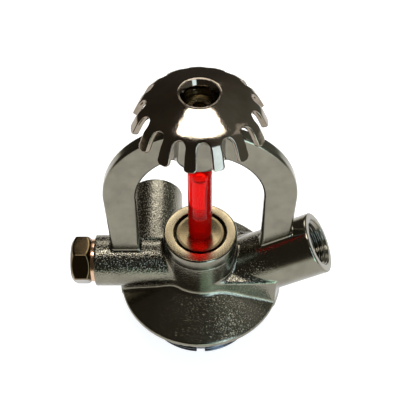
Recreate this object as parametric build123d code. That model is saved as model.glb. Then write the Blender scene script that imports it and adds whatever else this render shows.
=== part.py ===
from build123d import *
import math
import os

# Sprinkler-type discharge valve for a hanging extinguisher cylinder.
# Units are millimetres. The origin is the centre of the flange's underside, +Z runs from
# the neck thread towards the deflector, and the yoke's two arms lie in the XZ plane.

# ---- driving dimensions --------------------------------------------------------------

# flange, cone and hub
FLANGE_R = 18.5
RIM_T = 1.3
RIM_CHAMFER = 0.25
HUB_R = 8.25
HUB_BASE_Z = 6.2
HUB_TOP_Z = 16.85
HUB_FILLET = 0.8
RUN_IN = 2.0            # how far tubes and webs run into the hub

# neck: metric fine thread that screws into the cylinder's head boss
NECK_R = 13.5
NECK_PITCH = 1.5
NECK_LAND = 1.6
NECK_LENGTH = 11.5
NECK_CAVITY_R = 9.6
NECK_CAVITY_TOP_Z = -3.0
VENT_SLOT_W = 2.0
VENT_SLOT_DEPTH = 1.4
SEAL_GROOVE_R = 15.3
SEAL_GROOVE_W = 1.9
SEAL_GROOVE_DEPTH = 1.1
SEAL_SECTION_R = 0.75

# gas way up to the seat
MAIN_BORE_R = 4.0
MAIN_BORE_START_Z = 1.5

# seat bush, screwed into the hub
BUSH_THREAD_R = 7.0
BUSH_PITCH = 1.0
BUSH_FLANGE_T = 1.5
BUSH_SKIRT = 5.8
BUSH_CHAMFER = 0.5
RECESS_R = 5.9
SEAT_LEDGE_Z = 15.0
SEAT_BORE_R = 3.8
GASKET_T = 0.6
GASKET_WALL = 1.7

# cap that closes the seat, and the disc spring under it
CAP_R = 5.2
CAP_T = 0.55
CAP_RIM_Z = 18.15
CAP_UNDER_Z = 15.75
CAP_STEM_LENGTH = 3.0
CAP_DISH_R = 1.9
STEM_GAP = 0.4
DISC_SPRING_T = 0.35
DISC_SPRING_MARGIN = 0.4

# glass bulb
BULB_R = 2.5
BULB_WALL = 0.5
BULB_BOTTOM_Z = 17.0
BULB_TOP_Z = 41.4
BULB_BUBBLE_R = 1.1

# yoke
YOKE_OUTER_R = 20.4
YOKE_INNER_R = 13.4
YOKE_CENTRE_Z = 31.3
YOKE_T = 3.0
YOKE_FOOT_R = 19.8
YOKE_FOOT_Z = 12.0
YOKE_EDGE = 0.6

# nose boss at the yoke's crown
NOSE_R = 5.3
NOSE_TIP_R = 2.7
NOSE_TIP_Z = 41.6
NOSE_CONE_TOP_Z = 45.3
NOSE_FLAT_HALF = 2.9
NOSE_FLAT_TOP_Z = 47.0
NOSE_TOP_Z = 59.1

# deflector and the staked lip that holds it
DEFLECTOR_T = 1.2
DEFLECTOR_HUB_R = 5.5
DEFLECTOR_BEND_START_R = 9.4
DEFLECTOR_BEND_START_DROP = 1.75
DEFLECTOR_BEND_MID_R = 11.35
DEFLECTOR_BEND_MID_DROP = 3.1
DEFLECTOR_BEND_END_R = 12.3
DEFLECTOR_BEND_END_DROP = 5.0
DEFLECTOR_TIP_R = 13.3
DEFLECTOR_TIP_DROP = 7.1
TINE_COUNT = 15
TINE_PHASE = -8.1
SLOT_W = 2.5
SLOT_MOUTH_W = 3.3
SLOT_ROOT_R = 10.15
TINE_ROUND = 0.8
SPIGOT_R = 3.35
LIP_R = 4.15
LIP_T = 0.6
LIP_BEVEL = 0.2

# load screw and the thrust pin below it
SCREW_R = 3.0
SCREW_PITCH = 1.0
SCREW_BOTTOM_Z = 49.6
SCREW_LENGTH = 7.6
SCREW_HEX = 3.0
SCREW_HEX_DEPTH = 3.2
PIN_R = 1.5
PIN_HEAD_R = 2.3
PIN_HEAD_T = 1.2
PIN_CUP_DEPTH = 0.65   # how far the pin's cup reaches over the bulb's end

# left port: tube along -X, closed by the hex-head fill plug
FILL_TUBE_R = 5.85
FILL_TUBE_END = 23.9
PORT_AXIS_Z = 7.9
FILL_WEB_HALF_RIM = 3.7
FILL_WEB_HALF_HUB = 5.4
PLUG_R = 4.0
PLUG_PITCH = 1.0
PLUG_SHANK = 4.0
PLUG_HOLE_DEPTH = 5.3
PLUG_HEX = 10.0
PLUG_HEAD_T = 4.5
PLUG_HEX_TURN = 35.5
PLUG_FACE_R = 4.3
PLUG_UNDER_R = 4.7
PLUG_BEVEL_ANGLE = 35.0
WASHER_T = 0.9
WASHER_R = 4.9

# right port: gauge port, tilted up from the cone
GAUGE_TUBE_R = 7.0
GAUGE_TILT = 30.0
GAUGE_AXIS_Z = -1.0
GAUGE_REACH = 30.75
GAUGE_BLOCK_HALF = 7.4
GAUGE_BLOCK_TOP_Z = 9.2

# rear port: along +Y, beside the hub
REAR_TUBE_R = 6.5
REAR_TUBE_X = -10.7
REAR_REACH = 19.0
REAR_STEP_Y = 1.5

# M10x1 thread of the two open ports
PORT_THREAD_R = 5.0
PORT_PITCH = 1.0
PORT_THREAD_DEPTH = 8.7
PORT_MOUTH_R = 5.3

# check valve, the same in all three ports
CHAMBER_R = 3.3
PASSAGE_R = 1.5
RING_T = 1.2
RING_HOLE_R = 1.3
POPPET_R = 2.5
POPPET_T = 1.3
POPPET_PIN_R = 0.8
POPPET_PIN_SUNK = 0.2
POPPET_TAIL_R = 0.9
POPPET_TAIL = 1.3
POPPET_TRAVEL = 1.0
VALVE_SEAL_R = 1.95
VALVE_SEAL_SECTION_R = 0.4
VALVE_SEAL_SUNK = 0.45
CHAMBER_SPARE = 0.95
VALVE_SPRING_WIRE_R = 0.25
VALVE_SPRING_R = 1.75
VALVE_SPRING_TURNS = 3

# clearances
RUN = 0.04          # radial, between a screw or pin and the hole that it turns or slides in
THREAD_GAP = 0.08   # radial, between the ridges of two screwed pieces that stay put
TOUCH = 0.02        # between faces that rest on each other
FIT = 0.01          # radial, for rings pressed or glued in place
NEAR = 0.05         # tolerance for picking edges by their place

# ---- sizes that follow from them --------------------------------------------------------

THREAD_DEPTH_OUT = 0.613
THREAD_DEPTH_IN = 0.541
BUSH_TOP_Z = HUB_TOP_Z + BUSH_FLANGE_T
BUSH_BOTTOM_Z = HUB_TOP_Z - BUSH_SKIRT
GASKET_BOTTOM_Z = BUSH_BOTTOM_Z - GASKET_T
CAP_STEM_R = SEAT_BORE_R - STEM_GAP
DEFLECTOR_TOP_Z = NOSE_TOP_Z + DEFLECTOR_T
LIP_TOP_Z = DEFLECTOR_TOP_Z + LIP_T
PIN_TIP_Z = BULB_TOP_Z - PIN_CUP_DEPTH
PORT_CORE_R = PORT_THREAD_R - THREAD_DEPTH_IN * PORT_PITCH
CHAMBER_DEPTH = RING_T + VALVE_SEAL_SUNK + POPPET_T + POPPET_TAIL + POPPET_TRAVEL + CHAMBER_SPARE
GAUGE_DIR = Vector(math.cos(math.radians(GAUGE_TILT)), 0, math.sin(math.radians(GAUGE_TILT)))


# ---- helpers ------------------------------------------------------------------------------

def turned(points):
    """A solid of revolution about Z from its half profile, given as (radius, z) points."""
    outline = [(r, 0, z) for r, z in points]
    face = make_face(Polyline(*outline, close=True))
    return revolve(face, Axis.Z, 360)


def rod(radius, low, high):
    """A cylinder about Z from z = low to z = high."""
    return Pos(0, 0, low) * Cylinder(radius, high - low, align=(Align.CENTER, Align.CENTER, Align.MIN))


def tube(inner, outer, low, high):
    """A plain ring about Z."""
    return rod(outer, low, high) - rod(inner, low, high)


def threaded_rod(core, crest, pitch, low, high):
    """A rod about Z with V ridges: 60 degree flanks and a flat crest of pitch / 8."""
    flank = (crest - core) * math.tan(math.radians(30))
    flat = pitch / 8
    teeth = int((high - low - 0.2 * pitch) // pitch)
    start = (low + high - teeth * pitch) / 2
    outline = [(0, low), (core, low)]
    for k in range(teeth):
        centre = start + (k + 0.5) * pitch
        outline += [(core, centre - flat / 2 - flank), (crest, centre - flat / 2)]
        outline += [(crest, centre + flat / 2), (core, centre + flat / 2 + flank)]
    outline += [(core, high), (0, high)]
    return turned(outline)


def hexagon(across_flats, low, high, turn=0.0):
    """A hexagonal prism about Z; turn is the angle of one corner from X."""
    face = RegularPolygon(across_flats / math.sqrt(3), 6, rotation=turn)
    return Pos(0, 0, low) * extrude(face, high - low)


def ring_seal(radius, section, z):
    """An O-ring about Z whose section's centre is at z."""
    return Pos(0, 0, z) * Torus(radius, section)


def on_fill_axis(shape):
    """Takes a piece built about +Z, with z = 0 at the tube's open end and +Z outwards."""
    return Pos(-FILL_TUBE_END, 0, PORT_AXIS_Z) * Rot(0, -90, 0) * shape


def on_gauge_axis(shape):
    end = GAUGE_DIR * GAUGE_REACH
    return Pos(end.X, 0, end.Z + GAUGE_AXIS_Z) * Rot(0, 90 - GAUGE_TILT, 0) * shape


def on_rear_axis(shape):
    return Pos(REAR_TUBE_X, REAR_REACH, PORT_AXIS_Z) * Rot(-90, 0, 0) * shape


# ---- valve body ---------------------------------------------------------------------------

def flange_and_hub():
    """The flange with its conical top, the hub and the plain core of the neck."""
    c = RIM_CHAMFER
    body = turned([
        (0, -NECK_LAND), (NECK_R, -NECK_LAND), (NECK_R, 0), (FLANGE_R - c, 0), (FLANGE_R, c),
        (FLANGE_R, RIM_T - c), (FLANGE_R - c, RIM_T), (HUB_R, HUB_BASE_Z), (HUB_R, HUB_TOP_Z),
        (0, HUB_TOP_Z),
    ])
    hub_foot = [e for e in body.edges() if abs(e.center().Z - HUB_BASE_Z) < NEAR]
    return fillet(hub_foot, HUB_FILLET)


def neck():
    """The neck's threaded length, below its plain land."""
    core = NECK_R - THREAD_DEPTH_OUT * NECK_PITCH
    return threaded_rod(core, NECK_R, NECK_PITCH, -NECK_LENGTH, -NECK_LAND)


def fill_tube():
    """Left tube with the web that joins it to the flange's cone."""
    pipe = on_fill_axis(rod(FILL_TUBE_R, -FILL_TUBE_END, 0))
    inner_x = RUN_IN - HUB_R
    web_face = make_face(Polyline(
        (-FLANGE_R, -FILL_WEB_HALF_RIM), (inner_x, -FILL_WEB_HALF_HUB),
        (inner_x, FILL_WEB_HALF_HUB), (-FLANGE_R, FILL_WEB_HALF_RIM), close=True))
    web = Pos(0, 0, RIM_T / 2) * extrude(web_face, PORT_AXIS_Z - RIM_T / 2)
    return pipe + (web & rod(FLANGE_R, 0, PORT_AXIS_Z))


def gauge_tube():
    """Right tube, tilted up, and the block that carries it on the flange's cone."""
    pipe = on_gauge_axis(rod(GAUGE_TUBE_R, RUN_IN - GAUGE_REACH, 0))
    above = rod(2 * GAUGE_REACH, RIM_T / 2, 2 * GAUGE_REACH)
    block = Pos(0, 0, RIM_T / 2) * Box(
        FLANGE_R, 2 * GAUGE_BLOCK_HALF, GAUGE_BLOCK_TOP_Z - RIM_T / 2,
        align=(Align.MIN, Align.CENTER, Align.MIN))
    return (pipe & above) + (block & rod(FLANGE_R, 0, GAUGE_BLOCK_TOP_Z))


def rear_tube():
    """Rear tube, whose inner end is trimmed to the fill tube that it joins."""
    pipe = on_rear_axis(rod(REAR_TUBE_R, -REAR_REACH - FILL_TUBE_R, 0))
    behind = Pos(REAR_TUBE_X, REAR_STEP_Y, PORT_AXIS_Z) * Box(
        4 * REAR_TUBE_R, REAR_REACH, 4 * REAR_TUBE_R, align=(Align.CENTER, Align.MIN, Align.CENTER))
    return pipe & (behind + on_fill_axis(rod(FILL_TUBE_R, -FILL_TUBE_END, 0)))


def yoke():
    """Two arms that close in a half circle over the seat."""
    outer = Polyline(
        (YOKE_OUTER_R, YOKE_CENTRE_Z), (YOKE_FOOT_R, YOKE_FOOT_Z), (YOKE_FOOT_R, PORT_AXIS_Z),
        (YOKE_INNER_R, PORT_AXIS_Z), (YOKE_INNER_R, YOKE_CENTRE_Z))
    left = Polyline(
        (-YOKE_INNER_R, YOKE_CENTRE_Z), (-YOKE_INNER_R, PORT_AXIS_Z), (-YOKE_FOOT_R, PORT_AXIS_Z),
        (-YOKE_FOOT_R, YOKE_FOOT_Z), (-YOKE_OUTER_R, YOKE_CENTRE_Z))
    crown_out = ThreePointArc(
        (-YOKE_OUTER_R, YOKE_CENTRE_Z), (0, YOKE_CENTRE_Z + YOKE_OUTER_R), (YOKE_OUTER_R, YOKE_CENTRE_Z))
    crown_in = ThreePointArc(
        (YOKE_INNER_R, YOKE_CENTRE_Z), (0, YOKE_CENTRE_Z + YOKE_INNER_R), (-YOKE_INNER_R, YOKE_CENTRE_Z))
    face = make_face(Curve() + [outer, crown_in, left, crown_out])
    slab = extrude(Plane.XZ * face, YOKE_T / 2, both=True)
    rims = [e for e in slab.edges() if abs(abs(e.center().Y) - YOKE_T / 2) < NEAR
            and e.center().Z > PORT_AXIS_Z + NEAR]
    return fillet(rims, YOKE_EDGE)


def nose():
    """Boss at the crown: round above, flattened and tapered towards the bulb."""
    boss = turned([
        (0, NOSE_TIP_Z), (NOSE_TIP_R, NOSE_TIP_Z), (NOSE_R, NOSE_CONE_TOP_Z), (NOSE_R, NOSE_TOP_Z),
        (0, NOSE_TOP_Z)])
    flare = NOSE_R - NOSE_FLAT_HALF
    side = make_face(Polyline(
        (-NOSE_FLAT_HALF, NOSE_TIP_Z), (NOSE_FLAT_HALF, NOSE_TIP_Z), (NOSE_FLAT_HALF, NOSE_FLAT_TOP_Z),
        (NOSE_R, NOSE_FLAT_TOP_Z + flare), (NOSE_R, NOSE_TOP_Z), (-NOSE_R, NOSE_TOP_Z),
        (-NOSE_R, NOSE_FLAT_TOP_Z + flare), (-NOSE_FLAT_HALF, NOSE_FLAT_TOP_Z), close=True))
    flats = extrude(Plane.YZ * side, NOSE_R, both=True)
    spigot = rod(SPIGOT_R, NOSE_TOP_Z, DEFLECTOR_TOP_Z)
    lip = turned([
        (0, DEFLECTOR_TOP_Z), (LIP_R, DEFLECTOR_TOP_Z), (LIP_R, LIP_TOP_Z - LIP_BEVEL),
        (LIP_R - LIP_BEVEL, LIP_TOP_Z), (0, LIP_TOP_Z)])
    return (boss & flats) + spigot + lip


def port_bore(deep):
    """Cutter for an open port: mouth, thread, chamber and passage, about Z with its mouth at 0."""
    thread = threaded_rod(PORT_CORE_R, PORT_THREAD_R, PORT_PITCH, -PORT_THREAD_DEPTH, 0)
    mouth_depth = PORT_MOUTH_R - PORT_CORE_R
    mouth = turned([(0, -mouth_depth), (PORT_CORE_R, -mouth_depth), (PORT_MOUTH_R, 0), (0, 0)])
    return thread + mouth + valve_bore(PORT_THREAD_DEPTH, deep)


def valve_bore(start, deep):
    """Cutter for a check valve's chamber, from z = -start inwards, and the passage behind it."""
    floor = -start - CHAMBER_DEPTH
    return rod(CHAMBER_R, floor, -start) + rod(PASSAGE_R, -deep, floor)


def valve_body():
    body = flange_and_hub().fuse(neck(), yoke(), nose(), fill_tube(), gauge_tube(), rear_tube())

    gas_way = turned([
        (0, -NECK_LENGTH), (NECK_CAVITY_R, -NECK_LENGTH), (NECK_CAVITY_R, NECK_CAVITY_TOP_Z),
        (MAIN_BORE_R, MAIN_BORE_START_Z), (MAIN_BORE_R, GASKET_BOTTOM_Z), (0, GASKET_BOTTOM_Z)])
    core = BUSH_THREAD_R - THREAD_DEPTH_IN * BUSH_PITCH
    bush_hole = threaded_rod(core, BUSH_THREAD_R, BUSH_PITCH, BUSH_BOTTOM_Z, HUB_TOP_Z)
    gasket_seat = rod(core, GASKET_BOTTOM_Z, BUSH_BOTTOM_Z)
    body -= gas_way + bush_hole + gasket_seat

    plug_hole = rod(PLUG_R + RUN, -PLUG_HOLE_DEPTH, 0) + valve_bore(PLUG_HOLE_DEPTH, FILL_TUBE_END)
    body -= on_fill_axis(plug_hole)
    body -= on_gauge_axis(port_bore(GAUGE_REACH - MAIN_BORE_R))
    body -= on_rear_axis(port_bore(REAR_REACH))

    screw_hole = rod(SCREW_R + RUN, SCREW_BOTTOM_Z - PIN_HEAD_T, LIP_TOP_Z)
    body -= screw_hole + rod(PIN_R + RUN, NOSE_TIP_Z, SCREW_BOTTOM_Z)

    groove = tube(SEAL_GROOVE_R - SEAL_GROOVE_W / 2, SEAL_GROOVE_R + SEAL_GROOVE_W / 2, 0, SEAL_GROOVE_DEPTH)
    slot = Pos(0, -NECK_R, -NECK_LAND) * Box(
        VENT_SLOT_W, 2 * VENT_SLOT_DEPTH, NECK_LENGTH - NECK_LAND,
        align=(Align.CENTER, Align.CENTER, Align.MAX))
    return body - groove - slot


# ---- seat, cap and bulb -------------------------------------------------------------------

def neck_seal():
    return ring_seal(SEAL_GROOVE_R, SEAL_SECTION_R, SEAL_GROOVE_DEPTH - SEAL_SECTION_R - TOUCH)


def seat_bush():
    """Brass bush with the knife-edged seat, screwed into the hub."""
    core = BUSH_THREAD_R - THREAD_DEPTH_IN * BUSH_PITCH - THREAD_GAP
    crest = BUSH_THREAD_R - THREAD_GAP
    skirt = threaded_rod(core, crest, BUSH_PITCH, BUSH_BOTTOM_Z, HUB_TOP_Z)
    c = BUSH_CHAMFER
    collar = turned([
        (0, HUB_TOP_Z), (HUB_R, HUB_TOP_Z), (HUB_R, BUSH_TOP_Z - c), (HUB_R - c, BUSH_TOP_Z),
        (0, BUSH_TOP_Z)])
    recess = rod(RECESS_R, SEAT_LEDGE_Z, BUSH_TOP_Z)
    return skirt + collar - recess - rod(SEAT_BORE_R, BUSH_BOTTOM_Z, BUSH_TOP_Z)


def bush_gasket():
    outer = BUSH_THREAD_R - THREAD_DEPTH_IN * BUSH_PITCH - FIT
    return tube(outer - GASKET_WALL, outer, GASKET_BOTTOM_Z, BUSH_BOTTOM_Z)


def disc_spring():
    """Coned sealing spring between the seat ledge and the cap, round the cap's stem."""
    inner = CAP_STEM_R + RUN
    outer = RECESS_R - DISC_SPRING_MARGIN
    rise = CAP_UNDER_Z - SEAT_LEDGE_Z - DISC_SPRING_T
    low = SEAT_LEDGE_Z
    return turned([
        (inner, low + rise), (outer, low), (outer, low + DISC_SPRING_T),
        (inner, low + rise + DISC_SPRING_T)])


def seat_cap():
    """Dished cap whose centre holds the bulb's lower end and whose stem guides it in the bush."""
    dish_z = BULB_BOTTOM_Z + BULB_R - math.sqrt(BULB_R ** 2 - CAP_DISH_R ** 2)
    body = turned([
        (0, CAP_UNDER_Z - CAP_STEM_LENGTH), (CAP_STEM_R, CAP_UNDER_Z - CAP_STEM_LENGTH),
        (CAP_STEM_R, CAP_UNDER_Z),
        (CAP_R, CAP_UNDER_Z), (CAP_R, CAP_RIM_Z), (CAP_R - CAP_T, CAP_RIM_Z), (CAP_DISH_R, dish_z),
        (0, dish_z)])
    return body - Pos(0, 0, BULB_BOTTOM_Z + BULB_R) * Sphere(BULB_R + TOUCH)


def capsule(radius, low, high):
    """A cylinder about Z with half-ball ends, from z = low to z = high."""
    return rod(radius, low + radius, high - radius) + Pos(0, 0, low + radius) * Sphere(radius) \
        + Pos(0, 0, high - radius) * Sphere(radius)


def bulb_glass():
    inside = capsule(BULB_R - BULB_WALL, BULB_BOTTOM_Z + BULB_WALL, BULB_TOP_Z - BULB_WALL)
    return capsule(BULB_R, BULB_BOTTOM_Z, BULB_TOP_Z) - inside


def bulb_liquid():
    """The coloured liquid, with the gas bubble left out near the top."""
    wall = BULB_WALL + TOUCH
    bubble = Pos(0, 0, BULB_TOP_Z - wall - 2 * BULB_R + BULB_BUBBLE_R) * Sphere(BULB_BUBBLE_R)
    return capsule(BULB_R - wall, BULB_BOTTOM_Z + wall, BULB_TOP_Z - wall) - bubble


# ---- crown pieces -------------------------------------------------------------------------

def tine_slot():
    """Cutter for one slot of the deflector: round at its root on +X, wider at its mouth."""
    root_x = SLOT_ROOT_R + SLOT_W / 2
    mouth_x = DEFLECTOR_TIP_R + DEFLECTOR_T
    flare = make_face(Polyline(
        (root_x, -SLOT_W / 2), (mouth_x, -SLOT_MOUTH_W / 2), (mouth_x, SLOT_MOUTH_W / 2),
        (root_x, SLOT_W / 2), close=True))
    low = DEFLECTOR_TOP_Z - DEFLECTOR_TIP_DROP - 2 * DEFLECTOR_T
    return Pos(root_x, 0, 0) * rod(SLOT_W / 2, low, DEFLECTOR_TOP_Z) \
        + Pos(0, 0, low) * extrude(flare, DEFLECTOR_TOP_Z - low)


def deflector():
    """Dished disc cut into tines that bend down over the yoke."""
    top = DEFLECTOR_TOP_Z
    path = [
        (DEFLECTOR_HUB_R, 0), (DEFLECTOR_BEND_START_R, DEFLECTOR_BEND_START_DROP),
        (DEFLECTOR_BEND_MID_R, DEFLECTOR_BEND_MID_DROP), (DEFLECTOR_BEND_END_R, DEFLECTOR_BEND_END_DROP),
        (DEFLECTOR_TIP_R, DEFLECTOR_TIP_DROP)]
    outer = [(r, 0, top - drop) for r, drop in path]
    inner = []
    for k in range(1, len(path)):
        before = path[k - 1]
        after = path[min(k + 1, len(path) - 1)]
        run = math.hypot(after[0] - before[0], after[1] - before[1])
        across = ((after[1] - before[1]) / run, (after[0] - before[0]) / run)
        r = path[k][0] - DEFLECTOR_T * across[0]
        drop = path[k][1] + DEFLECTOR_T * across[1]
        inner.append((r, 0, top - drop))
    inner_hub = (DEFLECTOR_HUB_R, 0, top - DEFLECTOR_T)
    hole_r = SPIGOT_R + FIT
    edges = [
        Line((hole_r, 0, top), outer[0]), Line(outer[0], outer[1]),
        ThreePointArc(outer[1], outer[2], outer[3]), Line(outer[3], outer[4]),
        Line(outer[4], inner[3]), Line(inner[3], inner[2]), ThreePointArc(inner[2], inner[1], inner[0]),
        Line(inner[0], inner_hub), Line(inner_hub, (hole_r, 0, top - DEFLECTOR_T)),
        Line((hole_r, 0, top - DEFLECTOR_T), (hole_r, 0, top))]
    disc = revolve(make_face(Curve() + edges), Axis.Z, 360)
    pitch = 360 / TINE_COUNT
    for k in range(TINE_COUNT):
        disc -= Rot(0, 0, -90 + TINE_PHASE + (k + 0.5) * pitch) * tine_slot()
    middle_r = (outer[4][0] + inner[3][0]) / 2
    middle_z = (outer[4][2] + inner[3][2]) / 2
    corners = [e for e in disc.edges() if math.hypot(e.center().X, e.center().Y) > middle_r - NEAR
               and abs(e.center().Z - middle_z) < NEAR]
    tip_w = 2 * math.pi * DEFLECTOR_TIP_R / TINE_COUNT - SLOT_MOUTH_W
    return fillet(corners, min(TINE_ROUND, 0.45 * tip_w))


def load_screw():
    """Hex-socket screw that loads the bulb through the thrust pin."""
    top = SCREW_BOTTOM_Z + SCREW_LENGTH
    screw = threaded_rod(SCREW_R - THREAD_DEPTH_OUT * SCREW_PITCH, SCREW_R, SCREW_PITCH, SCREW_BOTTOM_Z, top)
    return screw - hexagon(SCREW_HEX, top - SCREW_HEX_DEPTH, top)


def thrust_pin():
    """Headed pin between the load screw and the bulb, with a cupped lower end."""
    head_z = SCREW_BOTTOM_Z - PIN_HEAD_T
    body = rod(PIN_R, PIN_TIP_Z, head_z) + rod(PIN_HEAD_R, head_z, SCREW_BOTTOM_Z - TOUCH)
    return body - Pos(0, 0, BULB_TOP_Z - BULB_R) * Sphere(BULB_R + TOUCH)


# ---- fill plug ----------------------------------------------------------------------------

def fill_plug():
    """Hex-head plug, about the fill tube's axis."""
    low = WASHER_T
    high = WASHER_T + PLUG_HEAD_T
    corner = PLUG_HEX / math.sqrt(3)
    slope = math.tan(math.radians(PLUG_BEVEL_ANGLE))
    rounding = turned([
        (0, low), (PLUG_UNDER_R, low), (corner, low + (corner - PLUG_UNDER_R) * slope),
        (corner, high - (corner - PLUG_FACE_R) * slope), (PLUG_FACE_R, high), (0, high)])
    head = hexagon(PLUG_HEX, low, high, PLUG_HEX_TURN) & rounding
    core = PLUG_R - THREAD_DEPTH_OUT * PLUG_PITCH
    shank = threaded_rod(core, PLUG_R, PLUG_PITCH, -PLUG_SHANK, low)
    return on_fill_axis(head + shank)


def plug_washer():
    return on_fill_axis(tube(PLUG_R + RUN, WASHER_R, TOUCH, WASHER_T - TOUCH))


# ---- check valves -------------------------------------------------------------------------

def valve_ring(start):
    """Pressed ring that the poppet seals against."""
    return tube(RING_HOLE_R, CHAMBER_R - FIT, -start - RING_T, -start)


def valve_poppet(start):
    """Poppet with a pin that stands in the ring's hole and a tail inside the spring."""
    face = -start - RING_T - VALVE_SEAL_SUNK
    back = face - POPPET_T
    body = rod(POPPET_R, back, face) + rod(POPPET_PIN_R, face, -start - POPPET_PIN_SUNK)
    body += rod(POPPET_TAIL_R, back - POPPET_TAIL, back)
    return body - Pos(0, 0, valve_seal_z(start)) * Torus(VALVE_SEAL_R, VALVE_SEAL_SECTION_R + FIT)


def valve_seal_z(start):
    return -start - RING_T - VALVE_SEAL_SECTION_R - TOUCH


def valve_seal(start):
    return ring_seal(VALVE_SEAL_R, VALVE_SEAL_SECTION_R, valve_seal_z(start))


def valve_spring(start):
    """Coil spring between the poppet and the chamber's floor."""
    top = -start - RING_T - VALVE_SEAL_SUNK - POPPET_T - VALVE_SPRING_WIRE_R - TOUCH
    low = -start - CHAMBER_DEPTH + VALVE_SPRING_WIRE_R + TOUCH
    path = Helix((top - low) / VALVE_SPRING_TURNS, top - low, VALVE_SPRING_R)
    section = Plane(path @ 0, z_dir=path % 0) * Circle(VALVE_SPRING_WIRE_R)
    return Pos(0, 0, low) * sweep(section, path, is_frenet=True)


PORTS = {
    "fill": (on_fill_axis, PLUG_HOLE_DEPTH),
    "gauge": (on_gauge_axis, PORT_THREAD_DEPTH),
    "rear": (on_rear_axis, PORT_THREAD_DEPTH),
}
VALVE_PIECES = {
    "valve_ring": valve_ring,
    "valve_poppet": valve_poppet,
    "valve_seal": valve_seal,
    "valve_spring": valve_spring,
}


def all_pieces():
    pieces = {
        "valve_body": valve_body(),
        "neck_seal": neck_seal(),
        "seat_bush": seat_bush(),
        "bush_gasket": bush_gasket(),
        "disc_spring": disc_spring(),
        "seat_cap": seat_cap(),
        "bulb_glass": bulb_glass(),
        "bulb_liquid": bulb_liquid(),
        "deflector": deflector(),
        "load_screw": load_screw(),
        "thrust_pin": thrust_pin(),
        "fill_plug": fill_plug(),
        "plug_washer": plug_washer(),
    }
    for port, (place, start) in PORTS.items():
        for piece, build in VALVE_PIECES.items():
            pieces[port + "_" + piece] = place(build(start))
    return pieces


os.makedirs("parts", exist_ok=True)
for name, shape in all_pieces().items():
    export_step(shape, "parts/" + name + ".step")
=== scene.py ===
"""Looks, light and camera for a sprinkler-pattern discharge valve of a hanging extinguisher.

Blender works in metres. The sizes in the classes are millimetres, because that is how the
valve is dimensioned, and they become metres only where a mesh, a pattern or a lamp is made.
The origin is the centre of the flange's underside and +Z runs from the neck thread towards
the deflector. Every signed distance is negative inside its form.
"""

import logging
import math
from dataclasses import dataclass, field
from enum import Enum, auto
from functools import cache, reduce
from typing import Any, Callable, Sequence

import bmesh
import bpy
import numpy as np
from bpy.types import Material, Node, NodeSocket, NodeTree, Object
from mathutils import Euler, Matrix, Vector

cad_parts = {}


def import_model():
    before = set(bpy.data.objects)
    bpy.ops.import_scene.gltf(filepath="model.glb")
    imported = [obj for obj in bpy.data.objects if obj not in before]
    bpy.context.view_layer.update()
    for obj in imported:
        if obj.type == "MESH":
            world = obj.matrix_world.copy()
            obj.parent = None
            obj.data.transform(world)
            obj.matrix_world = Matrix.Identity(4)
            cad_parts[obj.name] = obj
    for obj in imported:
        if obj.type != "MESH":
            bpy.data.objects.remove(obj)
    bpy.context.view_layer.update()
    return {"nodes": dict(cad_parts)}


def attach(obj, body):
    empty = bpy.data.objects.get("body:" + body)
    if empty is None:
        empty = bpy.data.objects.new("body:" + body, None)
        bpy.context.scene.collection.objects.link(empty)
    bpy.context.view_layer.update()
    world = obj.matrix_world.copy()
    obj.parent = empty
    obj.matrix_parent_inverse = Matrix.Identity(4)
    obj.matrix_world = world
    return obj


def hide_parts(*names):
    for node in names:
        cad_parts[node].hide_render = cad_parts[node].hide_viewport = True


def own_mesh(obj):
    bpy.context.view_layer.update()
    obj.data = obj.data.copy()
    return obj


MM = 0.001  # metres in a millimetre
WELD = 0.001  # millimetres within which the points of a shell become one
log = logging.getLogger("valve")

Points = np.ndarray
Pair = tuple[float, float]
Triple = tuple[float, float, float]
Corners = Sequence[Triple]
Place = np.ndarray | tuple[np.ndarray, np.ndarray, np.ndarray]
Distance = Callable[[Place], np.ndarray]


class Port(Enum):
    """The valve's three ports, by the word that the names of their pieces start with."""

    FILL = "fill"
    GAUGE = "gauge"
    REAR = "rear"


class Slot(Enum):
    """Names of the material slots that the new pieces belong to; fit takes them but doesn't use them."""

    NICKEL = "nickel_plate"
    DEFLECTOR = "deflector_plate"
    BRASS = "seat_brass"
    PLUG = "plug_bronze"
    WASHER = "washer_copper"
    GLASS = "bulb_glass"
    LIQUID = "bulb_liquid"
    SPRING = "spring_steel"


# ---- meshes -------------------------------------------------------------------------------

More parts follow.
